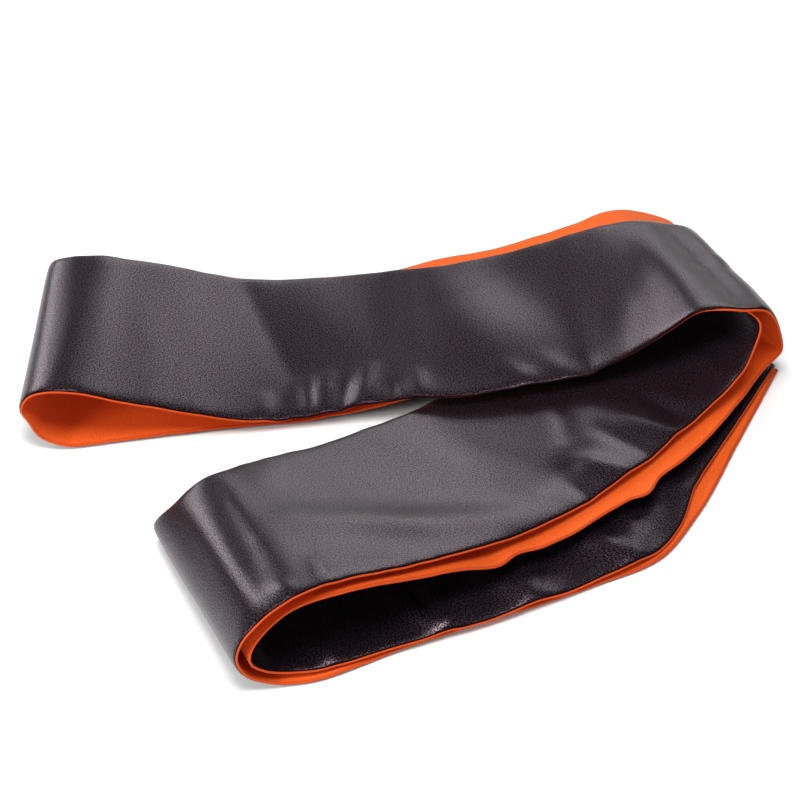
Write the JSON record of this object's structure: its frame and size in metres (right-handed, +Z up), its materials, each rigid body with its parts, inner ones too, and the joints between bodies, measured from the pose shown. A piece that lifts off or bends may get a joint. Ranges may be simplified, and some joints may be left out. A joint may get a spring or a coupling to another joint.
{
  "type": "satin sash",
  "caption": "Long satin sash with plain sewn edges, doubled and folded in three overlapping arms on a table, dark on one side and bright on the other.",
  "frame": {"origin": "on the table, under the middle of the folded sash", "axes": "+X right along the top arm, away from the end loop; +Y from the viewer's side to the back; +Z up"},
  "size_m": [0.3301, 0.3041, 0.048],
  "materials": {
    "dark_satin": "satin",
    "bright_satin": "satin"
  },
  "bodies": {
    "root": {"bottom_arm_upper_face": "dark_satin", "bottom_arm_upper_back": "bright_satin", "left_turn_inner_face": "dark_satin", "left_turn_inner_back": "bright_satin", "middle_arm_lower_face": "dark_satin", "middle_arm_lower_back": "bright_satin", "right_turn_outer_face": "dark_satin", "right_turn_outer_back": "bright_satin", "top_arm_upper_face": "dark_satin", "top_arm_upper_back": "bright_satin", "end_loop_face": "dark_satin", "end_loop_back": "bright_satin", "top_arm_lower_face": "dark_satin", "top_arm_lower_back": "bright_satin", "right_turn_inner_face": "dark_satin", "right_turn_inner_back": "bright_satin", "middle_arm_upper_face": "dark_satin", "middle_arm_upper_back": "bright_satin", "left_turn_outer_face": "dark_satin", "left_turn_outer_back": "bright_satin", "bottom_arm_lower_face": "dark_satin", "bottom_arm_lower_back": "bright_satin"}
  },
  "joints": []
}
